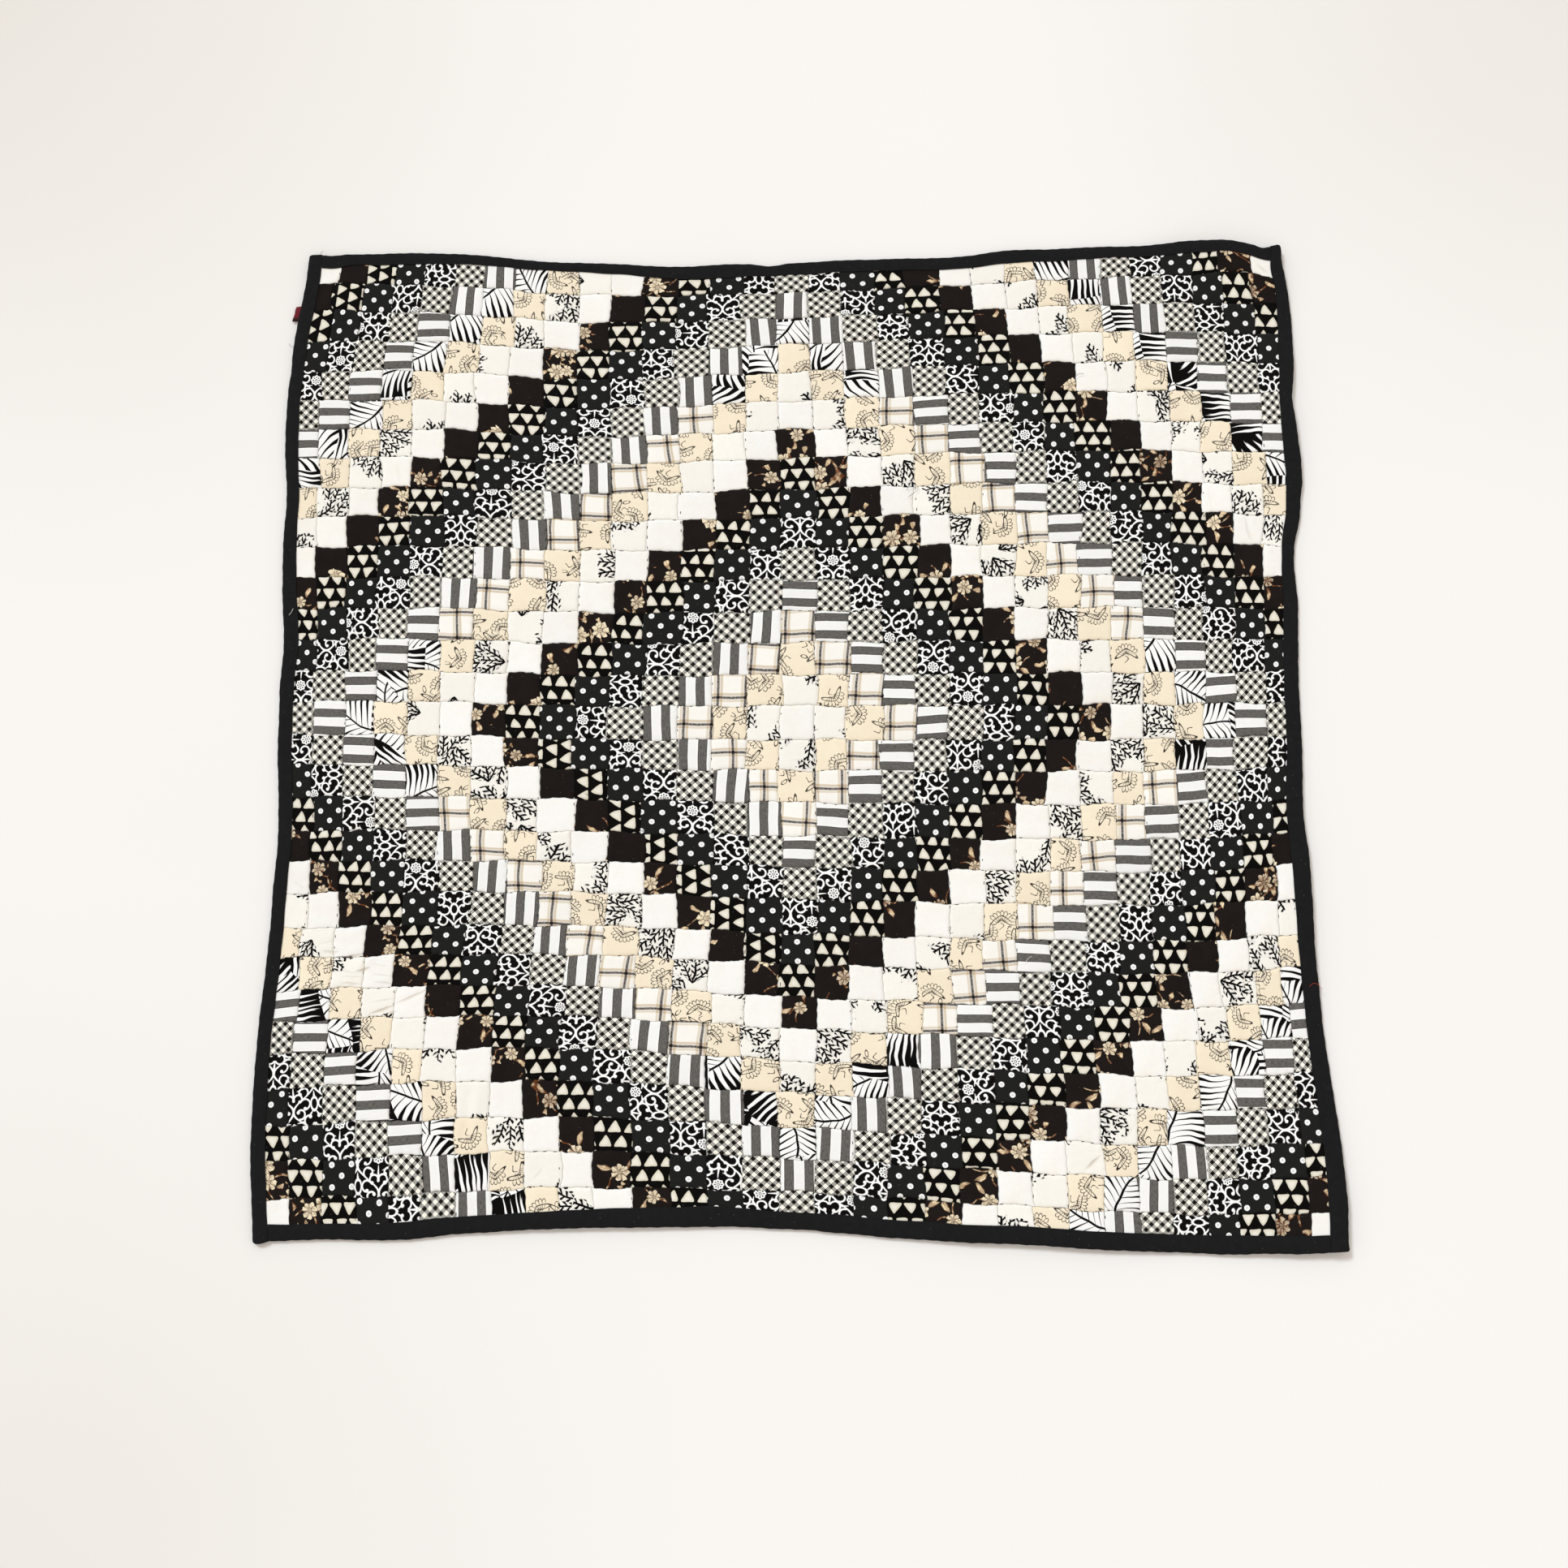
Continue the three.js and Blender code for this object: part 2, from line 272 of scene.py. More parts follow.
def patch_height(row, column, u, v, s, t):
    """The height of the quilted face."""
    last = PATCHES - 1
    sides = [
        (np.where(column == 0, s + LIP, u * PATCH), v),
        (np.where(column == last, LIP - s, (1 - u) * PATCH), v),
        (np.where(row == 0, t + LIP, v * PATCH), u),
        (np.where(row == last, LIP - t, (1 - v) * PATCH), u),
    ]
    fullness, pucker = 1, 0
    for side, (inwards, runs) in enumerate(sides):
        inwards = np.clip(inwards, 0, None)
        fullness = fullness * (1 - np.exp(-inwards / SHOULDER))
        ripple = np.cos(TAU * runs * SEAM_DASHES + PHASE[side, row, column])
        fade = np.exp(-inwards / PUCKER_REACH) * (1 - np.exp(-inwards / PUCKER_START))
        pucker = pucker + ripple * fade
    field = 1 - pressed(s, t)
    rise = PUFF[row, column] * fullness + PUCKER * pucker * fullness
    rise = rise + bumps(SWELLS, s, t)
    rise = rise + creases(s, t) * (SEAM_CREASE + (1 - SEAM_CREASE) * fullness)
    return SEAM_HEIGHT + (PRESSED_HEIGHT - SEAM_HEIGHT) * (1 - field) + field * rise


def face_height(s, t):
    return patch_height(*find_patch(s, t), s, t)


# ---- making pieces
BAKE_MAP = "OFBake"


def add_object(name, data):
    made = bpy.data.objects.new(name, data)
    bpy.context.scene.collection.objects.link(made)
    return made


def make_mesh(name, points, faces, material, maps=(), numbers=(), flat=False):
    """A piece. maps holds names and a place at each corner of each face, or at each point;
    numbers holds names and a value for each point; flat says which faces aren't smooth."""
    points = np.asarray(points).reshape(-1, 3)
    mesh = bpy.data.meshes.new(name)
    mesh.from_pydata((points * MM).tolist(), [], faces.tolist())
    mesh.polygons.foreach_set("use_smooth", ~np.broadcast_to(flat, len(faces)))
    for map_name, values in dict(maps).items():
        values = np.asarray(values, np.float32).reshape(-1, 2)
        if len(values) == len(points):
            values = values[faces.ravel()]
        mesh.uv_layers.new(name=map_name).uv.foreach_set("vector", values.ravel())
    for number_name, values in dict(numbers).items():
        stored = mesh.attributes.new(number_name, "FLOAT", "POINT")
        stored.data.foreach_set("value", np.asarray(values, np.float32).ravel())
    mesh.materials.append(material)
    mesh.update()
    piece = add_object(name, mesh)
    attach(piece, "root")
    return piece


def grid_faces(rows, columns, start=0, turned=False, closed=False):
    """Faces over a grid of points, row after row. Where it is closed, its rows are rings."""
    here = start + np.arange(columns) + np.arange(rows - 1)[:, None] * columns
    after = np.roll(here, -1, axis=1)
    faces = np.stack([here, after, after + columns, here + columns], -1)
    faces = (faces if closed else faces[:, :-1]).reshape(-1, 4)
    return faces[:, ::-1] if turned else faces


def rim_of_grid(side):
    """The points round a square grid, from the near left one."""
    grid = np.arange(side * side).reshape(side, side)
    return np.concatenate([grid[0, :-1], grid[:-1, -1], grid[-1, :0:-1], grid[:0:-1, 0]])


# ---- materials
ONE_NUMBER = ("LENGTH", "DISTANCE", "DOT_PRODUCT")  # these don't give a place


def read(tree, kind, output=0, **settings):
    """One output of a new node."""
    made = tree.nodes.new("ShaderNode" + kind)
    for setting, value in settings.items():
        setattr(made, setting, value)
    return Field(made.outputs[output])


class Field:
    """A number, place or colour that varies over a surface: one output of a node."""

    def __init__(self, socket):
        self.socket = socket

    def node(self, kind, inputs, output=0, **settings):
        made = read(self.socket.id_data, kind, output, **settings)
        put(made.socket.node.inputs, inputs)
        return made

    def math(self, operation, *others, clamp=False):
        inputs = dict(enumerate((self, *others)))
        return self.node("Math", inputs, operation=operation, use_clamp=clamp)

    def vector(self, operation, *others):
        inputs = dict(enumerate((self, *others)))
        output = "Value" if operation in ONE_NUMBER else 0
        return self.node("VectorMath", inputs, output, operation=operation)

    __add__ = partialmethod(math, "ADD")
    __sub__ = partialmethod(math, "SUBTRACT")
    __mul__ = partialmethod(math, "MULTIPLY")
    __truediv__ = partialmethod(math, "DIVIDE")
    __abs__ = partialmethod(math, "ABSOLUTE")
    near = partialmethod(math, "MINIMUM")
    both = partialmethod(math, "MAXIMUM")
    length = partialmethod(vector, "LENGTH")

    def ramp(self, scale=1.0, start=0.0):
        """self * scale + start, held between 0 and 1"""
        return self.math("MULTIPLY_ADD", scale, start, clamp=True)

    def less(self, other, scale=1.0):
        """other - self * scale"""
        return self.math("MULTIPLY_ADD", -scale, other)

    def every(self, step):
        """Wrapped to between -step/2 and step/2."""
        return self.math("WRAP", step / 2, -step / 2)

    def parts(self):
        outputs = self.node("SeparateXYZ", {0: self}).socket.node.outputs
        return Field(outputs[0]), Field(outputs[1])

    def moved(self, right, away):
        return self.vector("SUBTRACT", (right, away, 0))

    def turned(self, angle):
        inputs = {"Vector": self, "Angle": angle}
        return self.node("VectorRotate", inputs, rotation_type="Z_AXIS")

    def angle(self):
        x, y = self.parts()
        return y.math("ARCTAN2", x)


def put(inputs, values):
    for key, value in values.items():
        if isinstance(value, Field):
            value.socket.id_data.links.new(value.socket, inputs[key])
        else:
            inputs[key].default_value = value


def point(x, y):
    return x.node("CombineXYZ", {0: x, 1: y})


def polar(turn, radius):
    """How far right and away a place at an angle and a radius lies."""
    return turn.math("COSINE") * radius, turn.math("SINE") * radius


def scaled(what, share):
    return share.node("VectorMath", {0: what, "Scale": share}, operation="SCALE")


def noise(p, size, detail=2.0, rough=0.5, output=0):
    """Soft noise, 0 to 1, whose lumps are about size millimetres."""
    inputs = {"Vector": p, "Scale": 1 / size, "Detail": detail, "Roughness": rough}
    return p.node("TexNoise", inputs, output, noise_dimensions="2D")


def warped(p, size, amount):
    """Places pushed about by noise, as if drawn by hand."""
    push = noise(p, size, 1, output="Color").vector("SUBTRACT", (0.5, 0.5, 0.5))
    return push.vector("MULTIPLY_ADD", (2 * amount,) * 3, p)


def cells(p, size, randomness):
    """The place as seen from the nearest of scattered ones, and two chance numbers of that."""
    inputs = {"Vector": p, "Scale": 1 / size, "Randomness": randomness}
    found = p.node("TexVoronoi", inputs, "Position", voronoi_dimensions="2D")
    first, second = Field(found.socket.node.outputs["Color"]).parts()
    return p.vector("SUBTRACT", found), first, second


def ink(distance, soft=0.16):
    """1 inside a shape, where the distance is below 0, and 0 outside."""
    return distance.ramp(-1 / soft, 0.5)


def blend(first, second, share):
    return share.node("Mix", {0: share, 6: first, 7: second}, 2, data_type="RGBA")


def bump(height, distance, strength, under=None):
    """Relief, its distance in metres, over any relief under it."""
    inputs = {"Height": height, "Distance": distance, "Strength": strength}
    if under:
        inputs["Normal"] = under
    return height.node("Bump", inputs)


def srgb(*levels):
    """A colour as a screen shows it, 0 to 255."""
    shares = [level / 255 for level in levels]
    linear = [q / 12.92 if q <= 0.04045 else ((q + 0.055) / 1.055) ** 2.4 for q in shares]
    return (*linear, 1)


PRINT_WHITE = srgb(251, 250, 246)
INK_BLACK = srgb(9, 8, 7)
# Painted shade for the dips of the sharp creases in pale cloth
FOLD_SHADE = srgb(198, 176, 142)
LINT_GREY = srgb(170, 166, 160)


# The prints and weaves: each takes the place on its cloth and gives a colour
def plain_white(p):
    return blend(srgb(249, 247, 242), srgb(248, 243, 233), noise(p, 30, 3).ramp(2.5, -0.9))


def plain_black(p):
    return blend(srgb(24, 24, 25), srgb(31, 31, 32), noise(p, 6, 3))


def plain_red(p):
    return blend(srgb(170, 44, 38), srgb(206, 92, 74), noise(p, 1.5, 1))


def ribbon_red(p):
    x, y = p.parts()
    rib = abs((x * (pi / 0.55)).math("SINE"))
    colour = blend(srgb(92, 14, 28), srgb(112, 20, 34), rib)
    # Painted shade: nearly black over the last few millimetres towards the ribbon's near end
    return blend(colour, srgb(40, 10, 15), ink(y.less(11.2), 1.4))


def sprig(off, run):
    """A stem with blunt twigs by turns to each side."""
    side = off.math("SIGN")
    off = abs(off)
    twig = (run * 0.88 - off * 0.78 + side * 1.0).every(4.0)
    twig = abs(twig) - (off * 0.13 + 0.5)
    twig = twig.math("SMOOTH_MAX", off - 3.7, 0.9)
    return twig.near(off - 0.72)


def branching_sprays(p):
    """Fans of twiggy sprigs in black, with grey echoes."""
    loose = warped(p.vector("MULTIPLY", (0.86, 0.86, 1)), 26, 3.0)
    loose = warped(loose, 7, 0.9)
    local, pick, keep = cells(loose, 37, 0.8)
    local = local.turned(pick * TAU).moved(0, -18)
    run = local.length()
    turn = local.turned(-RIGHT_ANGLE).angle()
    inner = sprig(turn.every(0.6) * run, run).both(run - 18)
    outer = sprig((turn + 0.15).every(0.3) * run, run + 2).both(run.less(18.6))
    spread = (abs(turn) - 0.95) * 19
    tips = run - (noise(loose, 7, 1) * 18 + keep * 10 + 15)
    edge = spread.both(tips)
    drawn = inner.near(outer) + edge.ramp(0.6) * 1.7
    drawn = drawn.both(edge - 1.3)
    echo = ink(drawn - 0.8, 1.2) * noise(p, 6, 1).ramp(5, -2.4)
    ground = blend(srgb(248, 244, 234), srgb(200, 197, 192), echo * 0.75)
    return blend(ground, INK_BLACK, ink(drawn - 0.02))


def line_flowers(p):
    """Fans of petals under two drooping leaves and a stem, in line."""
    local, pick, keep = cells(warped(p, 16, 1.3), 23, 0.6)
    local = local.turned(pick * TAU)
    spread = local.moved(0, -4.5)
    radius = spread.length()
    turn = spread.turned(-RIGHT_ANGLE).angle()
    reach = (radius - 7.0) * 0.23
    petal = point(turn.every(0.33) * 5.5, reach)
    petals = abs(petal.length() - 1) * (radius * 0.18 + abs(reach) * 2.6) - 0.3
    fan = petals.both((abs(turn) - 1.16) * radius).both(radius.less(2.4))
    x, y = local.parts()
    out, up = abs(x) - 4.1, y + 1.4
    wing = point(out * 0.26 + up * 0.12, up * 0.5 + out * 0.3)
    leaves = abs(wing.length() - 1) * 1.8 - 0.28
    stem = abs(x - (y * 0.8).math("SINE") * 1.6) - 0.36
    stem = stem.both(y + 3.4).both(y.less(-9.5))
    sprout = point((x - 6.5) * 0.7, (y + 9.5) * 0.33)
    sprout = (abs(sprout.length() - 1) * 1.5 - 0.22).both(keep.less(0.45) * 20)
    drawn = fan.near(leaves).near(stem).near(sprout)
    share = ink(drawn - 0.07, 0.3) * (noise(p, 5, 1) * 1.3 + 0.4)
    ground = blend(srgb(245, 229, 202), srgb(249, 237, 211), noise(p, 22, 2))
    return blend(ground, srgb(48, 40, 34), share.near(1))


PLAID_STEP = 23.5


def window_plaid(p):
    """Soft dark bands with tan lines beside them, both ways."""
    loose = warped(p, 30, 1.5)
    heather = noise(loose, 1.5, 2, 0.7).ramp(2.4, -0.7)
    layers = []
    for q in loose.parts():
        q = q.every(PLAID_STEP)
        lines = ink(abs(q - 3.1) - 0.8, 0.9) * 0.75 + ink(abs(q + 2.9) - 0.8, 0.9) * 0.55
        halo = ink(abs(q - 0.3) - 2.3, 1.5) * 0.25
        core = ink(abs(q) - 1.05, 0.8) * (heather * 0.35 + 0.68)
        layers.append((lines, halo, core))
    tan, halo, dark = (across + up for across, up in zip(*layers))
    ground = blend(srgb(250, 246, 237), srgb(208, 187, 150), tan)
    ground = blend(ground, srgb(150, 124, 102), halo)
    return blend(ground, srgb(38, 30, 24), dark.math("POWER", 1.1, clamp=True))


def palm_leaves(p):
    """White leaves, their leaflets parted by black gaps that widen outwards."""
    loose = warped(p.vector("MULTIPLY", (0.84, 0.84, 1)), 60, 7)
    local, pick, keep = cells(warped(loose, 16, 1.3), 48, 0.85)
    x, y = local.turned(pick * TAU * 3).parts()
    off = abs(y + x * x * 0.007)
    leaflet = x * 1.1 - off * 0.8 + off * off * 0.011
    uneven = noise(point(leaflet * 0.3, keep * 40), 1, 0) * 1.4 + 0.05
    gap = abs(leaflet.every(5.7)) - (off * (keep * 0.1 + 0.05) + 0.3) * uneven
    rib = off - 0.8
    return blend(PRINT_WHITE, INK_BLACK, ink(gap.near(rib), 0.2))


STRIPE_STEP, HALF_STRIPE = 16.2, 3.85


def awning_stripe(p):
    x, y = warped(p, 26, 0.6).parts()
    band = abs(x.every(STRIPE_STEP)) - HALF_STRIPE
    streak = noise(point(x * 1.1, y * 0.3), 1, 3, 0.7).ramp(2.2, -0.6)
    grey = blend(srgb(79, 76, 72), srgb(118, 115, 111), streak)
    grey = blend(grey, srgb(56, 53, 50), ink(band.less(-0.55), 0.3) * 0.6)
    paper = blend(srgb(245, 244, 240), PRINT_WHITE, ink(band - 0.9, 0.6))
    return blend(paper, grey, ink(band, 0.2))


CHECK = 3.35


def check_weave(p):
    """Dark warp and weft show together as black, and singly as lines."""
    threads = []
    for q in warped(p, 24, 0.3).parts():
        threads.append(ink(abs(q.every(CHECK * 2)) - CHECK / 2, 0.12))
        threads.append(ink(abs(q.every(CHECK / 3)) - 0.33, 0.2))
    warp, warp_line, weft, weft_line = threads
    crossed = warp * weft
    dark = (warp - crossed) * warp_line + (weft - crossed) * weft_line + crossed
    return blend(srgb(250, 246, 234), srgb(23, 19, 13), dark)


# A half tile of the scrollwork, mirrored at both sides. Hooks: middle right and away, radius,
# start and sweep in degrees. Strokes: from right, away to right, away, and the half widths there
SCROLL_WIDTH, SCROLL_HEIGHT = 18.6, 42.0
HOOKS = [
    (4.6, -8.2, 4.3, 205, 260), (8.3, 5.4, 4.4, 35, 235), (12.1, -2.8, 3.7, 285, -240),
    (9.4, 15.4, 4.1, 215, -235), (14.7, 10.4, 3.7, 0, 235), (8.4, -16.2, 3.8, 110, -225),
]
STROKES = [
    (0.0, -21.0, 0.0, -10.5, 1.3, 0.4), (18.6, 21.0, 18.6, 9.4, 0.2, 1.2),
    (4.0, -4.0, 1.2, 0.0, 0.9, 0.2), (0.0, 10.0, 0.0, 15.6, 1.2, 0.2),
    (15.4, -9.6, 10.4, -8.9, 0.2, 0.9), (15.2, 17.0, 9.6, 19.4, 0.2, 0.9),
]
RING_AWAY, RING_WIDE, RING_HIGH = 4.9, 3.0, 5.2
ROSETTE = (18.6, -14.8)
LINE, BEAD = 0.73, 1.45  # half a drawn line's width, and the radius of the bead at its end


def hook(p, right, away, radius, start, sweep):
    """A curved line with a round bead at its end."""
    half = radians(sweep / 2)
    arm = p.moved(right, away).turned(-radians(start + sweep / 2))
    turn = arm.angle().near(abs(half)).both(-abs(half))
    line = arm.vector("DISTANCE", point(*polar(turn, radius))) - LINE
    bead = ((radius - 0.7) * cos(half), (radius - 0.7) * sin(half), 0)
    return line.near(arm.vector("DISTANCE", bead) - BEAD)


def stroke(p, right, away, to_right, to_away, half, to_half):
    """A straight stroke that widens or narrows."""
    run = (to_right - right, to_away - away, 0)
    arm = p.moved(right, away)
    share = arm.vector("DOT_PRODUCT", run).ramp(1 / (run[0] ** 2 + run[1] ** 2))
    gap = arm.vector("DISTANCE", scaled(run, share))
    return gap - share.math("MULTIPLY_ADD", to_half - half, half)


def rosette(p):
    """The distance from a round flower's middle, and from its edges."""
    radius = p.length()
    turn = p.angle()
    flower = radius - (abs((turn * 4).math("COSINE")) * 0.9 + 4.2)
    x, y = polar(turn.every(TAU / 8), radius)
    drop = point(x - 2.9, y * 1.9).length() - 0.95
    hole = drop.near(abs(radius - 0.95) - 0.28)
    return radius, flower.both(hole * -1)


def scrollwork(p):
    x, y = warped(p, 17, 0.9).parts()
    tile = point(x.math("PINGPONG", SCROLL_WIDTH), y.every(SCROLL_HEIGHT))
    right, away = tile.parts()
    swing = (away * (TAU / SCROLL_HEIGHT)).math("COSINE") + 1
    drawn = abs(right - swing * (SCROLL_WIDTH / 2)) * 0.72 - LINE
    for row in HOOKS:
        drawn = drawn.near(hook(tile, *row))
    for row in STROKES:
        drawn = drawn.near(stroke(tile, *row))
    ring = point(right / RING_WIDE, (away - RING_AWAY) / RING_HIGH)
    drawn = drawn.near(abs(ring.length() - 1) * (RING_WIDE + 0.4) - LINE)
    radius, flower = rosette(tile.moved(*ROSETTE))
    drawn = drawn.both(radius.less(5.4)).near(flower)
    return blend(srgb(13, 11, 10), PRINT_WHITE, ink(drawn, 0.2))


DOT_STEP, DOT_RADIUS = 12.5, 2.45


def white_dots(p):
    """Dots in a square lattice, worn a little thin."""
    x, y = p.parts()
    middle = point(x.every(DOT_STEP), y.every(DOT_STEP))
    reach = warped(middle, 2.2, 0.16).length()
    thin = blend(PRINT_WHITE, srgb(222, 222, 222), ink(reach - 1.2, 0.8))
    ground = blend(srgb(24, 24, 23), srgb(41, 41, 40), noise(p, 0.9, 2) * 0.7)
    return blend(ground, thin, ink(reach - DOT_RADIUS, 0.22))


TRIANGLE_HEIGHT, TRIANGLE_WIDTH, ROW_SHIFT = 12.3, 12.6, 5.1


def cut_triangles(p):
    """Rounded triangles in rows, no two alike."""
    x, y = p.parts()
    rows = y / TRIANGLE_HEIGHT
    row = rows.math("FLOOR")
    columns = (x + row * ROW_SHIFT) / TRIANGLE_WIDTH
    where = point(row, columns.math("FLOOR"))
    first, second = x.node("TexWhiteNoise", {"Vector": where}, "Color").parts()
    local_x = columns.math("FRACT") * TRIANGLE_WIDTH - TRIANGLE_WIDTH / 2
    local_y = rows.math("FRACT") * TRIANGLE_HEIGHT - TRIANGLE_HEIGHT / 2
    lean = first - 0.5
    local_x = (local_x + lean * 1.4) + local_y * lean * 0.5
    size = second * 0.26 + 0.88
    side = (local_x * local_x + 0.4).math("SQRT") * 0.88 + (local_y * 0.47 - size * 2.45)
    bowed = side + local_y * local_y * 0.02
    body = bowed.math("SMOOTH_MAX", local_y.less(-4.6), 2.8) - size * 0.42
    body = body + (noise(p, 6, 0) - 0.5) * 0.9
    cream = blend(srgb(222, 215, 196), srgb(238, 233, 218), ink(body + 1.4, 1.4))
    return blend(srgb(9, 8, 6), cream, ink(body, 0.22))


def dark_flowers(p):
    loose = warped(p, 7, 1.2)
    local, pick, keep = cells(loose, 26, 0.95)
    local = local.turned(pick * TAU)
    radius = local.length()
    turn = local.angle()
    size = pick * 3.2 + 4.8
    ragged = noise(point(turn * 2.2, radius * 0.12), 1, 1)
    wave = abs((turn * 3.5).math("COSINE"))
    lobe = wave.math("POWER", 0.6)
    flower = radius - size * (lobe * 0.45 + ragged * 0.4 + 0.45)
    leaf_x, leaf_y = polar(turn.every(TAU / 3), radius)
    leaf_x = leaf_x - 13.2
    leaf_y = abs(leaf_y + leaf_x * leaf_x * 0.03)
    leaf = (leaf_y - (leaf_x * leaf_x).less(2.2, 0.055)).both(abs(leaf_x) - 6.2)
    x, y = local.parts()
    stem = abs(y + (x * 0.24).math("SINE") * 2.0) - 0.5
    vine = abs(noise(p, 46, 0) - 0.5) * 46 - 0.46
    twigs = stem.both(x - 15).near(vine.both(noise(p, 15, 0).less(0.46) * 30))
    kept = keep.math("GREATER_THAN", 0.3)

    share = (radius / size).ramp()
    streak = noise(point(turn * 6, radius * 0.3), 1, 2).ramp(3.4, -1.2)
    light = lobe * 0.7 + share * 0.35 + streak * 0.6 + keep * 0.8 - 1.1
    paint = blend(srgb(96, 52, 25), srgb(255, 240, 206), light.ramp())
    paint = blend(paint, srgb(48, 30, 20), ink(abs(share - 0.3) - 0.04, 0.06) * 0.7)

    patchy = noise(loose, 4, 2).ramp(3.0, -1.1)
    light = patchy * 0.7 + (leaf * -0.45).both(0) + keep * 0.5 - 0.5
    brown = blend(srgb(106, 60, 32), srgb(252, 228, 186), light.ramp())
    brown = blend(brown, srgb(58, 35, 22), ink(leaf_y - 0.2, 0.3) * 0.8)
    ground = blend(srgb(25, 20, 18), srgb(33, 27, 24), noise(p, 14, 2))
    colour = blend(ground, brown, ink(leaf.near(twigs), 0.25) * kept)
    return blend(colour, paint, ink(flower, 0.25) * kept)


THREAD_PITCH = 0.42


def fold_lines(tree):
    """How deep a place lies in the sharp creases, from 0 to 1."""
    where = warped(read(tree, "UVMap", uv_map="place"), 10, 1.1)
    depths = []
    for middle_s, middle_t, degrees, half, width, depth in FINE_CREASES:
        local = where.moved(middle_s, middle_t).turned(-radians(degrees))
        local = local.vector("MULTIPLY", (1 / half, 0.8 / width, 0))
        depths.append(local.vector("DOT_PRODUCT", local).ramp(-depth, depth))
    return reduce(Field.both, depths)


def new_material(name):
    """A material, and the inputs of its shader."""
    material = bpy.data.materials.new(name)
    material.use_nodes = True
    return material, material.node_tree.nodes["Principled BSDF"].inputs


def cloth_material(name, colours, sheen=0.02, lint=0.0, quilted=False, creased=False):
    """Woven cotton: its print, with painted shade in the seams, over a plain weave."""
    material, shader = new_material(name)
    tree = material.node_tree
    p = read(tree, "UVMap", uv_map="cloth")
    x, y = p.parts()
    across, up = ((q * (pi / THREAD_PITCH)).math("SINE") for q in (x, y))
    weave = across * up
    slub = noise(point(x * 0.12, y * 1.6), 1, 2) + noise(point(x * 1.6, y * 0.12), 1, 2)
    fibre = noise(p, 0.8, 3, 0.7)
    relief = bump(noise(p, 17, 3, 0.55), 0.0012, 0.42)
    colour = colours(p)
    if lint:
        speck = noise(p, 1.3, 0).math("GREATER_THAN", 0.92) * lint
        colour = blend(colour, LINT_GREY, speck)
    if creased:
        fold = fold_lines(tree)
        # Painted shade: pale cloth darkens along the dips of the sharp creases
        colour = blend(colour, FOLD_SHADE, fold * fold * 0.5)
        relief = bump(fold * -1, 0.0007, 1, relief)
    shade = weave * 0.05 + (slub - 1) * 0.07 + 1.0
    if quilted:
        inwards = read(tree, "Attribute", "Fac", attribute_name="from_seam")
        tone = read(tree, "Attribute", "Fac", attribute_name="tone")
        # Painted shade: a little darker in the last two thirds of a millimetre by the seams; tone
        # is each patch's own
        shade = shade * inwards.ramp(0.3, 0.8) * tone
    put(shader, {
        "Base Color": scaled(colour, shade),
        "Roughness": fibre.ramp(0.18, 0.76),
        "Specular IOR Level": 0.04,
        "Sheen Weight": sheen,
        "Sheen Roughness": 0.55,
        "Normal": bump(weave + slub + fibre * 0.4, 0.00006, 0.32, relief),
    })
    return material


# ---- which fabric goes where
# Row i counts away from the middle, column j to the right, and ring |i| + |j| picks the fabric:
# the first ten in turn, and palm where fabric_of() says
PRINTS = {
    "white": plain_white,
    "coral": branching_sprays,
    "beige": line_flowers,
    "plaid": window_plaid,
    "stripe": awning_stripe,
    "gingham": check_weave,
    "scroll": scrollwork,
    "dot": white_dots,
    "triangle": cut_triangles,
    "floral": dark_flowers,
    "palm": palm_leaves,
}
DARK_FABRICS = ["scroll", "dot", "triangle", "floral"]
# Pale fabrics whose sharp creases also get painted shade in their dips
CREASED = ["white", "beige", "coral"]
ON_THE_BIAS = ["gingham", "dot"]
SCATTERED = ["coral", "beige", "palm", "scroll", "floral"]
EXCEPTIONS = {(-10, 3): "palm", (-2, 11): "plaid"}


def fabric_of(i, j):
    ring = abs(i) + abs(j)
    if (i, j) in EXCEPTIONS:
        return EXCEPTIONS[i, j]
    if ring == 23 or (ring == 13 and max(abs(i), abs(j)) >= 11):
        return "palm"
    return list(PRINTS)[ring % 10]


def stripes_run_away(i, j):
    ring = abs(i) + abs(j)
    if ring == 4:
        return j < 0
    if ring == 14:
        return j <= (3 if i > 0 else 4) if j >= 0 else abs(i) >= 4
    return abs(j) <= (10 if j < 0 else 11)


# Each side of a ring was cut from one strip, so the print moves on from patch to patch
STRIP_PLACES = chance.uniform(0, 400, (2, PATCHES, 4))
STRIP_TURNS = chance.choice([0, 0, 2, 0, 1, 2, 3], (PATCHES, 4))
STRIP_MOVES = chance.uniform(-5, 5, (PATCHES, 4, 2))


def window(i, j, fabric):
    """The print's turn in a patch, and its place at the middle."""
    ring = abs(i) + abs(j)
    side = 2 * (i < 0) + (j < 0)
    turn = STRIP_TURNS[ring, side] * RIGHT_ANGLE
    if fabric == "stripe":
        turn = 0 if stripes_run_away(i, j) else RIGHT_ANGLE
    if fabric in ON_THE_BIAS:
        turn += RIGHT_ANGLE / 2
    turn += radians(chance.normal(0, 1.7))
    step = STRIP_MOVES[ring, side] * abs(j) + chance.normal(0, 0.9, 2)
    if fabric in SCATTERED:
        step = step + chance.uniform(-28, 28, 2)
        turn += chance.choice([0, 0, 0, 1, 2, 3]) * RIGHT_ANGLE
    return turn, *(STRIP_PLACES[:, ring, side] + step)


# ---- the patches
CELLS = 16  # faces each way on a patch
CROWDING = 0.62  # how much closer together they are by its seams, from 0 to 1
WALL = 1.25  # how far a patch's cloth turns down into its seams
BAKE_SHARE, WALL_SHARE = 0.94, 1.04  # how much of its cell in the bake map is filled, and by walls


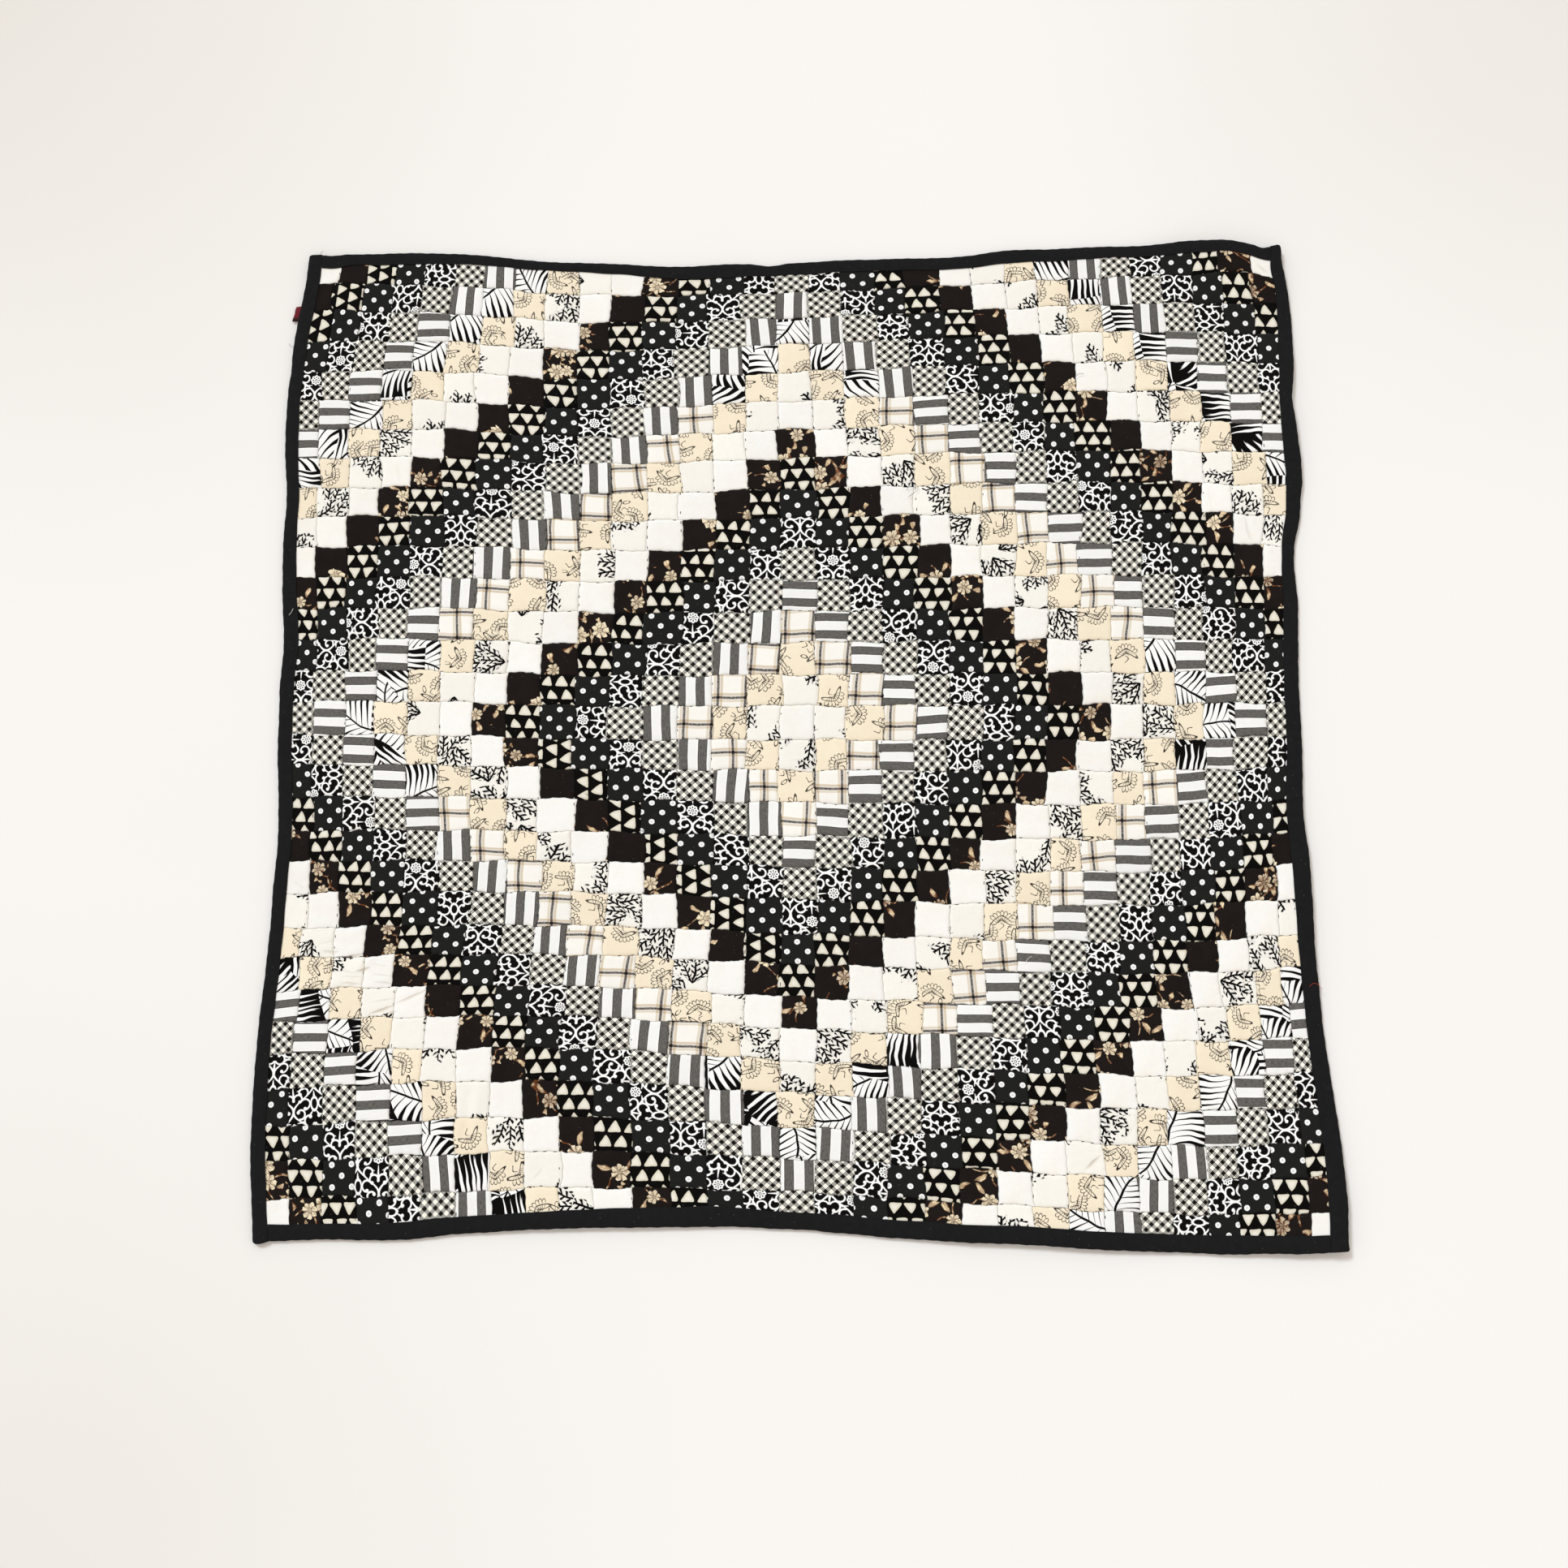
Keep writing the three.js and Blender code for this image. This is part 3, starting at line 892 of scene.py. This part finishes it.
def all_patches():
    """The s, t, z, u and v of every patch's points, by row and column."""
    even = np.arange(CELLS + 1) / CELLS
    lines = even - CROWDING * np.sin(TAU * even) / TAU
    number = np.arange(PATCHES)
    row, column, v, u = np.meshgrid(number, number, lines, lines, indexing="ij")
    s, t = patch_places(row, column, u, v)
    z = patch_height(row, column, u, v, s, t)
    return [values.reshape(PATCHES, PATCHES, -1) for values in (s, t, z, u, v)]


def build_patches():
    """A piece for each fabric, its patches turned down in their seams."""
    size = (CELLS + 1) ** 2
    rim = rim_of_grid(CELLS + 1)
    both = np.r_[np.arange(size), rim]  # a patch's points, then its walls' lower edge
    low = np.arange(len(both)) >= size
    s, t, z, u, v = (values[..., both] for values in all_patches())
    points = place(s, t, z - WALL * low)
    from_seam = PATCH * np.minimum(np.minimum(u, 1 - u), np.minimum(v, 1 - v))
    filled = BAKE_SHARE * np.where(low, WALL_SHARE, 1)[:, None]
    spread = (np.stack([u, v], -1) - 0.5) * filled + 0.5
    middles = seam_place(np.arange(PATCHES) + 0.5)
    local_s = s - middles[:, None]
    local_t = t - middles[:, None, None]

    ring = np.arange(len(rim))
    after = np.roll(ring, -1)
    top = grid_faces(CELLS + 1, CELLS + 1)
    walls = np.stack([rim, size + ring, size + after, rim[after]], -1)
    faces = np.vstack([top, walls])
    is_wall = np.arange(len(faces)) >= len(top)

    tone = chance.normal(1, 0.012, (PATCHES, PATCHES))
    members = {}
    for row, column in np.ndindex(PATCHES, PATCHES):
        fabric = fabric_of(row - CENTRE, column - CENTRE)
        members.setdefault(fabric, []).append((row, column))
    pieces = []
    for fabric, found in members.items():
        here = tuple(np.array(found).T)
        windows = [window(row - CENTRE, column - CENTRE, fabric) for row, column in found]
        turn, right, away = np.array(windows).T[..., None]
        cosine, sine = np.cos(turn), np.sin(turn)
        cloth_x = local_s[here] * cosine - local_t[here] * sine + right
        cloth_y = local_s[here] * sine + local_t[here] * cosine + away
        number = np.arange(len(found))
        packed = ceil(sqrt(len(found)))
        cell = np.stack([number % packed, number // packed], -1)
        dark = fabric in DARK_FABRICS
        pieces.append(make_mesh(
            "patches_" + fabric,
            points[here],
            (faces + (number * len(both))[:, None, None]).reshape(-1, 4),
            cloth_material("cotton_" + fabric, PRINTS[fabric], lint=0.24 if dark else 0.0,
                           quilted=True, creased=fabric in CREASED),
            maps={
                "cloth": np.stack([cloth_x, cloth_y], -1),
                "place": np.stack([s[here], t[here]], -1),
                BAKE_MAP: (spread[here] + cell[:, None]) / packed,
            },
            numbers={
                "from_seam": from_seam[here],
                "tone": np.repeat(tone[here], len(both)),
            },
            flat=np.tile(is_wall, len(found)),
        ))
    return pieces


# ---- the backing
BACK_CELLS = 4  # faces to a patch, each way
BACK_INSET = 2.2  # how far inside the outer edge it ends
BACK_RISE = 0.75  # how high it is drawn up at the quilting lines
BACK_TOP, BACK_THICKNESS, CLEARANCE = 1.15, 1.1, 0.06


def build_backing():
    count = PATCHES * BACK_CELLS + 1
    edge = HALF - BACK_INSET
    s, t = np.meshgrid(*[np.linspace(-edge, edge, count)] * 2)
    held = pressed(s, t)
    cup = np.abs(np.sin(pi * (s / PATCH + 0.5))) * np.abs(np.sin(pi * (t / PATCH + 0.5)))
    under = BACK_RISE * (1 - cup**0.5) * (1 - held) + (BINDING_FLOOR + CLEARANCE) * held
    upper = BACK_TOP + (BINDING_FLOOR + BACK_THICKNESS - BACK_TOP) * held
    size = count * count
    rim = rim_of_grid(count)
    after = np.roll(rim, -1)
    walls = np.stack([rim, after, after + size, rim + size], -1)
    sheets = [grid_faces(count, count, turned=True), grid_faces(count, count, start=size)]
    faces = np.vstack([*sheets, walls])
    cloth = np.tile(np.stack([s, t], -1).reshape(-1, 2), (2, 1))
    bake = cloth / (2 * edge) * 0.98 + 0.5
    bake[size:] *= 0.01  # the upper face never shows
    return make_mesh(
        "backing", [place(s, t, under), place(s, t, upper)], faces,
        cloth_material("cotton_backing", plain_black),
        maps={"cloth": cloth, BAKE_MAP: bake},
        flat=np.arange(len(faces)) >= len(faces) - len(walls),
    )


# ---- the binding
# Its section, round the outside and back along the channel for the cloth: distance in, and height
BINDING_SECTION = np.array([
    (13.0, 0.0), (10.0, 0.0), (6.5, 0.0), (3.6, 0.0), (2.3, 0.05), (1.3, 0.4), (0.55, 1.0),
    (0.12, 1.7), (0.0, 2.5), (0.12, 3.3), (0.5, 4.0), (1.2, 4.6), (2.1, 4.93), (3.4, 5.05),
    (5.2, 5.1), (7.2, 5.08), (9.0, 4.98), (10.3, 4.86), (11.1, 4.74), (11.6, 4.58), (12.1, 4.72),
    (12.7, 4.7), (13.05, 4.5), (13.1, 4.15), (12.8, 4.05), (7.5, 4.08), (1.95, 4.1), (1.0, 3.3),
    (1.0, 1.7), (1.95, 0.9), (7.5, 0.92), (13.0, 0.9),
])
# Each strip's CAD node, which way is out of the mat, and a seed. All run against the clock
EDGES = {
    "edge_left": ("binding_left", (-1, 0), 100),
    "edge_right": ("binding_right", (1, 0), 200),
    "edge_top": ("binding_top", (0, 1), 300),
    "edge_bottom": ("binding_bottom", (0, -1), 400),
}
# How much wider than its cut each strip lies, at even steps from -WIDER_REACH to WIDER_REACH
WIDER = {
    "edge_left": [0.8, 1.2, -0.3, -0.4, 0.2, 1.8, 0.4, 0.5, 0.1, -0.2, 0.0, 0.3, 0.7],
    "edge_right": [4.4, 3.1, 3.3, 2.2, 4.0, 3.2, 1.7, 1.7, 0.0, 2.8, 1.2, 0.9, -1.8],
    "edge_top": [1.0, -0.3, -0.6, 0.7, 1.8, 0.1, 0.9, 2.6, -1.4, -3.4, -2.3, 0.1, 0.4],
    "edge_bottom": [0.4, -0.9, 0.8, 0.8, 2.6, 5.2, 1.6, 2.7, 2.2, 2.6, 2.4, 2.4, 1.2],
}
WIDER_REACH = 450
STRIP_STEP = 3.0
TIPS = np.array([0.5, 1.1, 1.9])  # closer steps at each end
CORNER = 2.6  # how round the mat's corners are
BUTT_GAP = 0.3
FOLDS = 5  # rows that a strip is cut into for its bake


def build_binding(name, start=-HALF, end=HALF):
    node, (out_s, out_t), seed = EDGES[name]
    steps = np.linspace(start, end, int((end - start) / STRIP_STEP) + 1)
    run = np.sort(np.r_[steps, start + TIPS, end - TIPS])[:, None]
    count = len(run)
    inwards, height = BINDING_SECTION.T
    size = len(inwards)
    width = wobble(run, seed, (170, 83, 37), 0.35)
    where = np.linspace(-WIDER_REACH, WIDER_REACH, len(WIDER[name]))
    width = width + np.interp(run, where, WIDER[name])
    edge = wobble(run, seed + 1, (23, 11, 61), 0.26)
    wide = inwards + np.clip(inwards - 3, 0, 10) / 10 * width
    wide = wide + np.clip(1 - inwards / 3, 0, 1) * edge
    if end == HALF:
        past = np.clip(np.abs(run) - HALF + CORNER, 0, CORNER)
        cut = CORNER - np.sqrt(CORNER**2 - past**2 + 1e-9)
        wide = wide + cut * np.clip(1 - inwards / 9, 0, 1)
    upper = np.clip((height - 3.9) / 0.6, 0, 1) * np.clip(inwards / 3, 0, 1)
    pull = run + inwards * 0.75
    ripple = 0.10 * np.sin(pull * TAU / 8.3 + wobble(run, seed + 2, (70, 31), 1.6))
    ripple = ripple + 0.09 * np.sin(pull * TAU / 21 + seed)
    s = out_s * (HALF - wide) - out_t * run
    t = out_t * (HALF - wide) + out_s * run

    around = np.roll(BINDING_SECTION, -1, 0) - BINDING_SECTION
    girth = np.r_[0, np.cumsum(np.hypot(*around.T))]
    near, side = np.divmod(np.arange((count - 1) * size)[:, None], size)
    corner_run = run[near + [0, 0, 1, 1], 0]
    corner_girth = girth[side + [0, 1, 1, 0]]
    per_row = ceil((count - 1) / FOLDS)
    fold = near // per_row
    begins = run[np.minimum(fold * per_row, count - 1), 0]
    bake_x = (corner_run - begins) / (per_row * STRIP_STEP * 1.02) * 0.98 + 0.01
    bake_y = (fold + corner_girth / girth[-1] * BAKE_SHARE + 0.03) / FOLDS
    maps = {"cloth": np.stack([corner_run, corner_girth], -1),
            BAKE_MAP: np.stack([bake_x, bake_y], -1)}
    piece = make_mesh(name, place(s, t, height + ripple * upper),
                      grid_faces(count, size, closed=True), BINDING_COTTON, maps=maps)
    close_ends(piece, size)
    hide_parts(node)
    return piece


def butt(side, end):
    """How far a strip may run before it meets a side strip's end."""
    return LIP - WIDER[side][end] - BUTT_GAP


def close_ends(piece, size):
    """Adds a strip's end faces, and keeps its maps."""
    made = bmesh.new()
    made.from_mesh(piece.data)
    points = list(made.verts)
    made.faces.new(points[:size][::-1])
    made.faces.new(points[-size:])
    bmesh.ops.recalc_face_normals(made, faces=made.faces)
    made.to_mesh(piece.data)
    made.free()


# ---- threads
# A dash of thread: at each station along it, the shares of its half length, width and height
DASH_STATIONS = np.array([(-1, 0.25, 0.0), (-0.6, 1, 1), (0.6, 1, 1), (1, 0.25, 0.0)])
DASH_SECTION = np.array([(-1, 0.0), (-0.45, 1), (0.45, 1), (1, 0.0)])  # across and up
THREAD_WIDE, THREAD_HIGH, THREAD_LIFT = 0.3, 0.26, 0.05
QUILTING_INSET = 2  # how far inside the binding it stops
SHOWN = 0.62  # the share of dashes that isn't sunk in the seam


def dashes(name, s, t, across, half):
    ahead, wide, high = DASH_STATIONS.T[..., None]
    off, rise = DASH_SECTION.T
    off = wide * off * THREAD_WIDE
    rise = high * rise * THREAD_HIGH
    run = ahead * half[:, None, None] + 0 * off
    line_s = s[:, None, None] + run * across
    line_t = t[:, None, None] + run * (not across)
    base = face_height(line_s.ravel(), line_t.ravel()).reshape(run.shape)
    points = place(line_s - off * (not across), line_t + off * across, base + rise + THREAD_LIFT)
    faces = np.vstack([grid_faces(4, 4, start=16 * k, turned=True) for k in range(len(s))])
    return make_mesh(name, points, faces, THREADS["black"])


def build_quilting():
    pieces = []
    reach = LIP - QUILTING_INSET
    starts = np.arange(-reach, reach, DASH_STEP)
    middles = seam_place(np.arange(PATCHES) + 0.5)
    for name, across in (("quilting_across", True), ("quilting_away", False)):
        rows = []
        for k in range(1, PATCHES):
            run = starts + chance.uniform(0, DASH_STEP) + chance.normal(0, 0.8, len(starts))
            run = run[np.abs(run) < reach]
            if across:
                rows.append((run, seam_away(k, run) + wobble(run, 60 + k, (90, 33), 0.25)))
            else:
                jogs = np.pad(JOGS[:, k], 1, "edge")
                eased = np.convolve(jogs, [0.22, 0.56, 0.22], "valid")
                rows.append((seam_place(k) + np.interp(run, middles, eased), run))
        places = np.hstack(rows)
        s, t = places[:, chance.random(places.shape[1]) < SHOWN]
        pieces.append(dashes(name, s, t, across, chance.uniform(0.9, 1.9, len(s))))
    return pieces


# Stray ends of thread, each by its places: s, t and the height over the cloth
STRAYS = {
    "black": [
        [(94, 214, 0.4), (97, 219, 1.4), (103, 220, 1.8), (105, 215, 1.2), (100, 211, 0.8),
         (95, 208, 0.4)],
        [(-460, 363, 0.2), (-463, 364, 0.6), (-465, 367, 0.7)],
        [(-450, 461, 0.2), (-448, 463, 0.5), (-446, 464, 0.6)],
        [(-182, -68, 0.4), (-178, -70, 1.1), (-174, -68, 0.5)],
        [(250, 322, 0.4), (254, 326, 1.3), (259, 325, 0.5)],
    ],
    "red": [
        [(451, -238, 0.4), (454, -235, 1.2), (458, -235, 1.3), (461, -238, 0.7),
         (463, -241, 0.3)],
    ],
    "white": [
        [(-455, 96, 0.3), (-452, 99, 0.7), (-450, 103, 0.4)],
        [(196, -214, 0.4), (199, -209, 1.2), (203, -207, 0.5)],
        [(-312, 36, 0.4), (-308, 39, 1.1), (-306, 44, 0.4)],
    ],
}
STRAY_RADIUS, STRAY_SIDES = 0.16, 5
KNOT_STEPS, SOFTENED = 6, 7  # rings for each given place, and how many round its turn


def stray_threads(colour):
    points, faces = [], []
    angles = np.arange(STRAY_SIDES)[:, None] * TAU / STRAY_SIDES
    start = 0
    for line in STRAYS[colour]:
        knots = np.arange(len(line))
        run = np.linspace(0, len(line) - 1, KNOT_STEPS * len(line))
        smooth = []
        for q in np.array(line, float).T:
            padded = np.pad(np.interp(run, knots, q), SOFTENED // 2, "edge")
            smooth.append(np.convolve(padded, np.ones(SOFTENED) / SOFTENED, "valid"))
        s, t, lift = smooth
        base = face_height(np.clip(s, -LIP, LIP), np.clip(t, -LIP, LIP))
        middle = place(s, t, np.maximum(base, BINDING_HEIGHT - 0.2) + lift)
        side = np.cross(np.gradient(middle, axis=0), (0, 0, 1))
        side /= np.linalg.norm(side, axis=1)[:, None] + 1e-9
        ring = np.cos(angles) * side[:, None] + np.sin(angles) * np.array([0, 0, 1.0])
        points.append((middle[:, None] + STRAY_RADIUS * ring).reshape(-1, 3))
        tube = grid_faces(len(middle), STRAY_SIDES, start=start, turned=True, closed=True)
        faces.append(np.roll(tube, 1, axis=1))
        start += len(points[-1])
    return make_mesh("stray_" + colour, np.vstack(points), np.vstack(faces),
                     THREADS[colour])


# ---- the tag
TAG_T, TAG_LENGTH, TAG_THICKNESS, TAG_INSET = 398, 14, 1.3, 1.0
TAG_FAR, TAG_NEAR = 4.6, 5.9  # how far it stands out of the binding
TAG_ROWS, RIBBON_THICKNESS = 13, 0.35


def build_tag():
    """A folded ribbon caught in the left-hand binding, its fold outwards."""
    base = (BINDING_HEIGHT - TAG_THICKNESS) / 2
    turns = np.linspace(-RIGHT_ANGLE, RIGHT_ANGLE, 9)
    bend = TAG_THICKNESS / 2
    share = np.linspace(0, 1, TAG_ROWS)[:, None]
    proud = TAG_FAR + (TAG_NEAR - TAG_FAR) * share + 0.25 * np.sin(share * 9)
    nose = proud - bend
    flat = np.hstack([0 * share - TAG_INSET, 0 * share + 0.6, nose * 0.5])
    out = np.hstack([flat, nose + bend * np.cos(turns), flat[:, ::-1]])
    z = np.r_[[0] * 3, bend + bend * np.sin(turns), [TAG_THICKNESS] * 3]
    lift = 0.3 * np.sin(share * 5 + 0.4)
    points = place(-HALF - out, TAG_T + TAG_LENGTH * (0.5 - share), base + z + lift)
    girth = np.linspace(0, 2 * TAG_NEAR, len(z))
    cloth = np.stack(np.meshgrid(girth, TAG_LENGTH * share), -1)
    piece = make_mesh("ribbon_tag", points, grid_faces(TAG_ROWS, len(z)), RIBBON,
                      maps={"cloth": cloth, BAKE_MAP: cloth / 16 + 0.02})
    solid = piece.modifiers.new("layers", "SOLIDIFY")
    solid.thickness = RIBBON_THICKNESS * MM
    solid.offset = 0
    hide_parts("side_tag")
    return piece


# ---- the piece list
BINDING_COTTON = cloth_material("cotton_binding", plain_black, lint=0.2)
THREADS = {colour: cloth_material("thread_" + colour, look) for colour, look in (
    ("black", plain_black), ("red", plain_red), ("white", plain_white))}
RIBBON = cloth_material("ribbon_red", ribbon_red, sheen=0.3)

patches = build_patches()
backing = build_backing()
binding = [
    build_binding("edge_left"),
    build_binding("edge_right"),
    build_binding("edge_top", -butt("edge_right", -1), butt("edge_left", 0)),
    build_binding("edge_bottom", -butt("edge_left", -1), butt("edge_right", 0)),
]
quilting = build_quilting()
strays = [stray_threads(colour) for colour in STRAYS]
tag = build_tag()

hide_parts("quilt_panel")


# ---- floor, light and camera
FLOOR_HALF = 6.0
# Painted shade: the floor darkens a little towards three corners. Columns: right, away, reach in
# metres, and by how much
FLOOR_SHADES = [
    (-0.80, 0.77, 0.68, 0.9),
    (0.78, 0.75, 0.58, 0.75),
    (-0.66, -0.74, 0.60, 0.68),
]
FLOOR_PAPER = srgb(248, 245, 241)
SHADED_PAPER = srgb(231, 226, 218)
FAR_PAPER = srgb(250, 246, 241)
FILL_LIGHT = (0.732, 0.686, 0.648, 1)  # a warm fill under a cooler softbox, neutral together
SOFTBOX_LIGHT = (0.904, 1.024, 1.14)
SOFTBOX_DIRECTION = Vector((0.42, -0.5, -0.76))
CAMERA_PLACE = Vector((0.0382, -0.4797, 1.7385))
CAMERA_RIGHT = Vector((0.999726, 0.000664, -0.023397))
CAMERA_UP = Vector((0.004885, 0.971668, 0.236298))


def build_floor():
    corners = [(-1, -1, 0), (1, -1, 0), (1, 1, 0), (-1, 1, 0)]
    mesh = bpy.data.meshes.new("floor")
    mesh.from_pydata([Vector(corner) * FLOOR_HALF for corner in corners], [], [(0, 1, 2, 3)])
    material, shader = new_material("floor_paper")
    where = read(material.node_tree, "NewGeometry", "Position")
    shade = noise(where, 0.35, 3) * 0.16
    for right, away, reach, depth in FLOOR_SHADES:
        far = where.vector("DISTANCE", (right, away, 0))
        # Painted shade towards the corners, over a faint random mottling of the floor's own
        shade = shade + far.ramp(-1 / reach, 1) * depth
    colour = blend(FLOOR_PAPER, SHADED_PAPER, shade.ramp())
    put(shader, {"Base Color": colour, "Roughness": 0.9, "Specular IOR Level": 0.1})
    mesh.materials.append(material)
    add_object("floor", mesh)


def build_lights():
    world = bpy.data.worlds.new("studio")
    world.use_nodes = True
    tree = world.node_tree
    rays = tree.nodes.new("ShaderNodeLightPath").outputs
    seen = [Field(rays[f"Is {kind} Ray"]) for kind in ("Camera", "Glossy", "Transmission")]
    colour = blend(FILL_LIGHT, FAR_PAPER, reduce(Field.both, seen))
    put(tree.nodes["Background"].inputs, {"Color": colour})
    bpy.context.scene.world = world
    lamp = bpy.data.lights.new("softbox", "SUN")
    lamp.energy = 1.37
    lamp.angle = radians(16)
    lamp.color = SOFTBOX_LIGHT
    softbox = add_object("softbox", lamp)
    softbox.rotation_euler = SOFTBOX_DIRECTION.to_track_quat("-Z", "Y").to_euler()


def build_camera():
    data = bpy.data.cameras.new("camera")
    data.sensor_width = 36
    data.lens = 46.58
    data.clip_end = 50
    camera = add_object("camera", data)
    back = CAMERA_RIGHT.cross(CAMERA_UP)
    turn = Matrix((CAMERA_RIGHT, CAMERA_UP, back)).transposed()
    camera.matrix_world = Matrix.LocRotScale(CAMERA_PLACE, turn, None)
    bpy.context.scene.camera = camera


build_floor()
build_lights()
build_camera()
bpy.context.scene.view_settings.view_transform = "Standard"
